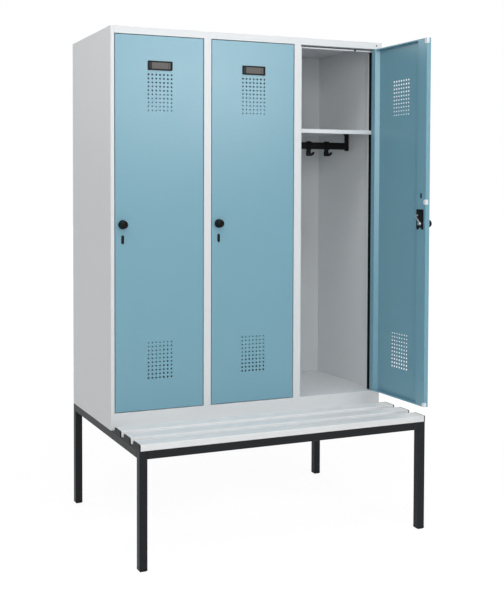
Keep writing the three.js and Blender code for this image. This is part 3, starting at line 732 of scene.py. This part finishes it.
# The channel is painted shade: its black stands for the shade in the post's hollow
def make_post_painted_shade(number):
    face = CABINET_LEFT + number * CELL - POST_FACE + SHEET + SHADE_PIECE_PLAY
    front = CABINET_FRONT + POST_OPEN_FROM
    back = CABINET_FRONT + POST_OPEN_TO
    shade_piece = draw_box((face, front, SHADE_PIECE_LOW), (face + SHADE_PIECE_DEEP, back, SHADE_PIECE_HIGH))
    open_side = furthest(shade_piece, 0)
    sink(shade_piece, [open_side], (SHADE_PIECE_WALL, 0), (SHADE_PIECE_DRAFT, SHADE_PIECE_WALL - SHADE_PIECE_DEEP))
    bevel_edges(shade_piece, edges_along(shade_piece, 2), SHADE_PIECE_EASED, 2)
    finish_piece(f"post_painted_shade_{number}", shade_piece, ROW, PAINTED_SHADE_BLACK, "cabinet")


# Knobs: a turned and fluted grip on its base ring, with a keyway in its flat end

KNOB_STEPS = 72
KNOB_SEAT = 0.3
# Radius and height above the door's front, from the stem to the flat end
KNOB_PROFILE = (
    (7.9, -14.0),
    (7.9, 0.0),
    (17.0, 0.0),
    (17.5, 0.5),
    (17.5, 3.2),
    (16.9, 4.0),
    (15.3, 4.2),
    (15.5, 5.0),
    (15.5, 16.0),
    (15.3, 18.6),
    (14.6, 21.3),
    (13.3, 23.7),
    (11.4, 25.6),
    (9.0, 26.8),
    (7.6, 27.2),
    (7.0, 26.8),
    (6.6, 26.2),
)
FLUTE_LOW = 5.0
FLUTE_HIGH = 16.0
FLUTE_EVERY = 6
FLUTE_SINK = (0.3, -0.7)
KEYWAY_RIM = (3.6, 0)
KEYWAY_SINK = (0.3, -2.5)


def make_knob(number):
    matrix = in_millimetres(leaf_matrix(number))
    knob = bmesh.new()
    points = [knob.verts.new((radius, 0, height)) for radius, height in KNOB_PROFILE]
    outline = [knob.edges.new(pair) for pair in zip(points, points[1:])]
    bmesh.ops.spin(
        knob,
        geom=points + outline,
        cent=(0, 0, 0),
        axis=(0, 0, 1),
        angle=2 * math.pi,
        steps=KNOB_STEPS,
        use_merge=True,
    )
    bmesh.ops.remove_doubles(knob, verts=knob.verts, dist=0.001)
    bmesh.ops.holes_fill(knob, edges=[e for e in knob.edges if e.is_boundary], sides=0)
    bmesh.ops.recalc_face_normals(knob, faces=knob.faces)
    grip = [f for f in knob.faces if FLUTE_LOW < f.calc_center_median().z < FLUTE_HIGH]
    grip.sort(key=lambda f: math.atan2(f.calc_center_median().y, f.calc_center_median().x))
    # A flute is two faces of the turned grip wide
    flutes = [f for i, f in enumerate(grip) if i % FLUTE_EVERY in (0, 1)]
    sink(knob, flutes, FLUTE_SINK)
    # The flat end is the one face that has a corner for every step and looks outwards
    end = max(knob.faces, key=lambda f: len(f.verts) * f.normal.z)
    sink(knob, [end], KEYWAY_RIM, KEYWAY_SINK)
    place = (
        Matrix.Translation((LOCK_X, DOOR_FRONT - KNOB_SEAT, LOCK_HEIGHT))
        @ Matrix.Rotation(math.pi / 2, 4, "X")
    )
    bmesh.ops.transform(knob, matrix=place, verts=knob.verts)
    piece = finish_piece(
        f"knob_{number}", knob, matrix, FINISHES["gloss_black"], f"lock_{number}"
    )
    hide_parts(f"lock_knob_{number}")


# A small blackened rivet in the top rail, above the right door's hinge

RIVET_RADIUS = 3.2
RIVET_PROUD = 0.6
RIVET_ACROSS = 1165.4
RIVET_HEIGHT = 1926.9


def make_rivet():
    rivet = bmesh.new()
    bmesh.ops.create_uvsphere(rivet, u_segments=24, v_segments=12, radius=RIVET_RADIUS)
    flat = Matrix.Diagonal((1, RIVET_PROUD / RIVET_RADIUS, 1, 1))
    bmesh.ops.transform(rivet, matrix=flat, verts=rivet.verts)
    place = Matrix.Translation((CABINET_LEFT + RIVET_ACROSS, CABINET_FRONT, RIVET_HEIGHT))
    bmesh.ops.transform(rivet, matrix=place, verts=rivet.verts)
    finish_piece("top_rail_rivet", rivet, ROW, BLACK, "cabinet", angle=60)


# Stop: a black clip on the lip of each compartment's ceiling, which the door's edge comes up to

LIP_SETBACK = 20
LIP_LOW = 1902.6
LIP_HIGH = 1908
STOP_WIDTH = 9
STOP_PROUD = 1.4
STOP_OVER = 0.8
STOP_EASED = 0.5
STOP_FROM_WALL = 117


def make_lip_stop(number):
    middle = CABINET_LEFT + number * CELL - STOP_FROM_WALL
    front = CABINET_FRONT + LIP_SETBACK
    low = (middle - STOP_WIDTH / 2, front - STOP_PROUD, LIP_LOW - STOP_OVER)
    high = (middle + STOP_WIDTH / 2, front + SHEET / 2, LIP_HIGH + STOP_OVER)
    clip = draw_box(low, high)
    bevel_edges(clip, clip.edges, STOP_EASED, 3)
    finish_piece(f"lip_stop_{number}", clip, ROW, BLACK, "cabinet")


# Coat rail: a flat bar between two slim brackets under the shelf, with three hooks on it. The
# places are about the middle of the bar

BAR_HIGH = 30
BAR_THICK = 14
BAR_CORNER = 5
BAR_FROM_TOP = 54.2
# How far the bar ends inside its brackets' outer faces
BAR_SHORT = 1
BRACKET_WIDE = 13
BRACKET_DEEP = 16
BRACKET_BELOW = 5
BRACKET_FOOT = 8
BRACKET_EASED = 1.2
BRACKET_SHARP = 0.6
HOOKS = (1, 2, 3)
MIDDLE_HOOK = 2
HOOK_PITCH = 89
HOOK_THICK = 10
HOOK_EASED = 1.6
LOOP_WIDE = 15
LOOP_WALL = 3.7
LOOP_PLAY = 0.5
LOOP_CORNER = 6
# Across and height of a hook below its loop: a broad foot with a tip that rises to the right
HOOK_OUTLINE = (
    (-7.0, -17.5),
    (-8.8, -21.0),
    (-11.5, -27.0),
    (-11.5, -42.5),
    (-9.0, -45.0),
    (9.0, -45.0),
    (16.0, -43.6),
    (22.4, -38.8),
    (27.0, -31.0),
    (25.4, -27.4),
    (20.2, -27.8),
    (17.0, -32.8),
    (13.8, -35.4),
    (11.2, -34.4),
    (8.8, -28.0),
    (7.0, -21.0),
    (6.5, -17.5),
)


def rail_middle(number):
    """Left and right end, depth and height of a bar's middle, and the top of its brackets."""
    low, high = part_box(f"coat_rail_{number}")
    top = high[2] / MM
    return low[0] / MM, high[0] / MM, (low[1] + high[1]) / 2 / MM, top - BAR_FROM_TOP, top


def draw_bracket(wall, inward, depth, low, top):
    """A bracket against a wall, inward being the way from it, with a wider foot at its top."""
    inner = wall + inward * BRACKET_WIDE
    bracket = draw_box(
        (min(wall, inner), depth - BRACKET_DEEP / 2, low),
        (max(wall, inner), depth + BRACKET_DEEP / 2, top - BRACKET_FOOT),
    )
    moved = lengthen(bracket, [furthest(bracket, 2)], (0, 0, BRACKET_FOOT))
    foot = [v for v in moved if abs(v.co.x - inner) < NEAR]
    bmesh.ops.translate(bracket, vec=(inward * BRACKET_FOOT, 0, 0), verts=foot)
    bmesh.ops.recalc_face_normals(bracket, faces=bracket.faces)
    bevel_edges(bracket, sharp_edges(bracket, BRACKET_SHARP), BRACKET_EASED, 3)
    return bracket


def make_coat_rail(number):
    left, right, depth, middle, top = rail_middle(number)
    half = BAR_HIGH / 2
    rail = draw_box(
        (left + BAR_SHORT, depth - BAR_THICK / 2, middle - half),
        (right - BAR_SHORT, depth + BAR_THICK / 2, middle + half),
    )
    bevel_edges(rail, edges_along(rail, 0), BAR_CORNER, 6)
    for wall, inward in ((left, 1), (right, -1)):
        take_in(rail, draw_bracket(wall, inward, depth, middle - half - BRACKET_BELOW, top))
    node = f"coat_rail_{number}"
    piece = finish_piece(f"rail_bar_{number}", rail, ROW, BLACK, BODY_OF[node])
    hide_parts(node)


def draw_blade():
    """What hangs below a hook's loop."""
    blade = bmesh.new()
    outline = [blade.verts.new((x, -HOOK_THICK / 2, z)) for x, z in HOOK_OUTLINE]
    front = blade.faces.new(outline)
    draw_out(blade, [front], (0, HOOK_THICK, 0))
    bmesh.ops.recalc_face_normals(blade, faces=blade.faces)
    rims = [e for e in blade.edges if abs(e.verts[0].co.y - e.verts[1].co.y) < NEAR]
    bevel_edges(blade, rims, HOOK_EASED, 3)
    return blade


def make_hook(number, place):
    node = f"coat_hook_{number}_{place}"
    left, right, depth, middle, _ = rail_middle(number)
    across = (left + right) / 2 + (place - MIDDLE_HOOK) * HOOK_PITCH
    high = BAR_HIGH / 2 + LOOP_PLAY + LOOP_WALL
    thick = BAR_THICK / 2 + LOOP_PLAY + LOOP_WALL
    hook = draw_box((-LOOP_WIDE / 2, -thick, -high), (LOOP_WIDE / 2, thick, high))
    bevel_edges(hook, edges_along(hook, 0), LOOP_CORNER, 5)
    # The loop is open from end to end, for the bar
    ends = [f for f in hook.faces if abs(f.normal.x) > 0.9]
    bmesh.ops.inset_region(hook, faces=ends, thickness=LOOP_WALL, depth=0)
    rims = {e for f in ends for e in f.edges}
    bmesh.ops.delete(hook, geom=ends, context="FACES_ONLY")
    bmesh.ops.bridge_loops(hook, edges=list(rims))
    bmesh.ops.recalc_face_normals(hook, faces=hook.faces)
    take_in(hook, draw_blade())
    bmesh.ops.translate(hook, vec=(across, depth, middle), verts=hook.verts)
    name = f"rail_hook_{number}_{place}"
    piece = finish_piece(name, hook, ROW, BLACK, BODY_OF[node], angle=50)
    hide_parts(node)


for door in DOORS:
    make_label(door)
    make_slot_cup("key_slot_cup", door, KEY_SLOT, DOOR_FRONT + CUP_SUNK, 0)
    # The cup in the lock box's slot is painted shade: its black stands for the shade inside the box
    make_slot_cup("back_slot_painted_shade", door, BACK_SLOT, DOOR_BACK - CUP_SUNK, math.pi)
    for where, height in BUMPER_HEIGHTS.items():
        make_bumper(door, where, height)
    make_post_painted_shade(door)
    make_lip_stop(door)
    make_knob(door)
    make_coat_rail(door)
    for hook_place in HOOKS:
        make_hook(door, hook_place)
make_rivet()


# Floor, light and camera

FLOOR_HALF = 30
FLOOR_MATT = (0.86, 0.86, 0.86, 1.0)
# Near the object the floor's own white makes way for enough of its matt surface to show a
# shadow; further off the floor is as white as the world behind it
FLOOR_GLOW_NEAR = 0.86
FLOOR_GLOW_FAR = 1.0
FLOOR_NEAR = 1.2
FLOOR_FAR = 3.2
FLOOR_WHITE = 1.07
SOFT_WORLD = 0.1


def seen_directly(tree):
    """One where the camera looks, straight, by gloss or through something clear, or else zero."""
    path = add_node(tree, "ShaderNodeLightPath")
    seen = maths(tree, "MAXIMUM", path.outputs["Is Camera Ray"], path.outputs["Is Glossy Ray"])
    return maths(tree, "MAXIMUM", seen, path.outputs["Is Transmission Ray"])


def make_floor():
    """A pale floor that is seen as white, with the object's shadow on it."""
    material = bpy.data.materials.new("pale floor")
    material.use_nodes = True
    tree = material.node_tree
    tree.nodes.clear()
    matt = add_node(tree, "ShaderNodeBsdfDiffuse", {"Color": FLOOR_MATT})
    bright = add_node(tree, "ShaderNodeEmission", {"Color": WHITE, "Strength": FLOOR_WHITE})
    place = add_node(tree, "ShaderNodeTexCoord").outputs["Object"]
    away = add_node(tree, "ShaderNodeVectorMath", {0: place}, operation="LENGTH").outputs["Value"]
    limits = {
        "Value": away,
        "From Min": FLOOR_NEAR,
        "From Max": FLOOR_FAR,
        "To Min": FLOOR_GLOW_NEAR,
        "To Max": FLOOR_GLOW_FAR,
    }
    glow = add_node(tree, "ShaderNodeMapRange", limits, interpolation_type="SMOOTHSTEP")
    share = maths(tree, "MULTIPLY", seen_directly(tree), glow.outputs["Result"])
    mixed = add_node(
        tree, "ShaderNodeMixShader", {0: share, 1: matt.outputs[0], 2: bright.outputs[0]}
    )
    add_node(tree, "ShaderNodeOutputMaterial", {"Surface": mixed.outputs[0]})
    mesh = bmesh.new()
    bmesh.ops.create_grid(mesh, x_segments=1, y_segments=1, size=FLOOR_HALF)
    data = bpy.data.meshes.new("floor")
    mesh.to_mesh(data)
    mesh.free()
    data.materials.append(material)
    floor = bpy.data.objects.new("floor", data)
    bpy.context.scene.collection.objects.link(floor)


def make_world():
    """Even pale light all round, which the camera and the gloss see as white."""
    world = bpy.data.worlds.new("studio")
    world.use_nodes = True
    tree = world.node_tree
    tree.nodes.clear()
    soft = add_node(tree, "ShaderNodeBackground", {"Color": WHITE, "Strength": SOFT_WORLD})
    white = add_node(tree, "ShaderNodeBackground", {"Color": WHITE, "Strength": 1.0})
    mixed = add_node(
        tree,
        "ShaderNodeMixShader",
        {0: seen_directly(tree), 1: soft.outputs[0], 2: white.outputs[0]},
    )
    add_node(tree, "ShaderNodeOutputWorld", {"Surface": mixed.outputs[0]})
    bpy.context.scene.world = world


# Large softboxes round the object at one distance: azimuth from the front towards the right,
# elevation and power in watts
SOFTBOX_SIZE = 2.0
SOFTBOX_AWAY = 4.5
SOFTBOX_AIM = (0.0, 0.0, 1.1)
SOFTBOXES = {
    "front left softbox": (-25, 14, 62),
    "high front softbox": (0, 60, 58),
    "high left softbox": (-60, 50, 46),
    "rear left softbox": (-135, 20, 26),
    "right softbox": (80, 15, 34),
    "rear softbox": (170, 25, 50),
}
# The softbox whose reflection lies over the upper part of the closed doors
HIGHLIGHT_AT = (1.43, -3.9, 2.4)
HIGHLIGHT_AIM = (-0.15, -0.08, 1.75)
HIGHLIGHT_WIDTH = 1.6
HIGHLIGHT_HEIGHT = 1.2
HIGHLIGHT_POWER = 39


def make_softbox(name, place, aim, width, height, power):
    lamp = bpy.data.lights.new(name, "AREA")
    lamp.shape = "RECTANGLE"
    lamp.size = width
    lamp.size_y = height
    lamp.energy = power
    box = bpy.data.objects.new(name, lamp)
    box.location = place
    facing = Vector(aim) - Vector(place)
    box.rotation_euler = facing.to_track_quat("-Z", "Y").to_euler()
    bpy.context.scene.collection.objects.link(box)


def place_softboxes():
    for name, (azimuth, elevation, power) in SOFTBOXES.items():
        turned = math.radians(azimuth)
        raised = math.radians(elevation)
        way = Vector(
            (
                math.sin(turned) * math.cos(raised),
                -math.cos(turned) * math.cos(raised),
                math.sin(raised),
            )
        )
        place = Vector(SOFTBOX_AIM) + SOFTBOX_AWAY * way
        make_softbox(name, place, SOFTBOX_AIM, SOFTBOX_SIZE, SOFTBOX_SIZE, power)
    make_softbox(
        "highlight softbox",
        HIGHLIGHT_AT,
        HIGHLIGHT_AIM,
        HIGHLIGHT_WIDTH,
        HIGHLIGHT_HEIGHT,
        HIGHLIGHT_POWER,
    )


def make_camera():
    data = bpy.data.cameras.new("camera")
    data.sensor_width = SENSOR
    longer = max(IMAGE_WIDTH, IMAGE_HEIGHT)
    data.lens = SENSOR * FOCAL_PIXELS / longer
    data.shift_x = (IMAGE_WIDTH / 2 - CENTRE_X) / longer
    data.shift_y = (CENTRE_Y - IMAGE_HEIGHT / 2) / longer
    data.clip_end = CLIP_END
    camera = bpy.data.objects.new("camera", data)
    camera.location = [(a + b) * MM for a, b in zip(EYE, (CABINET_LEFT, CABINET_FRONT, 0))]
    camera.rotation_euler = (math.radians(90 - PITCH), 0, math.radians(-YAW))
    bpy.context.scene.collection.objects.link(camera)
    bpy.context.scene.camera = camera


make_floor()
make_world()
place_softboxes()
make_camera()

bpy.context.scene.view_settings.view_transform = "Standard"
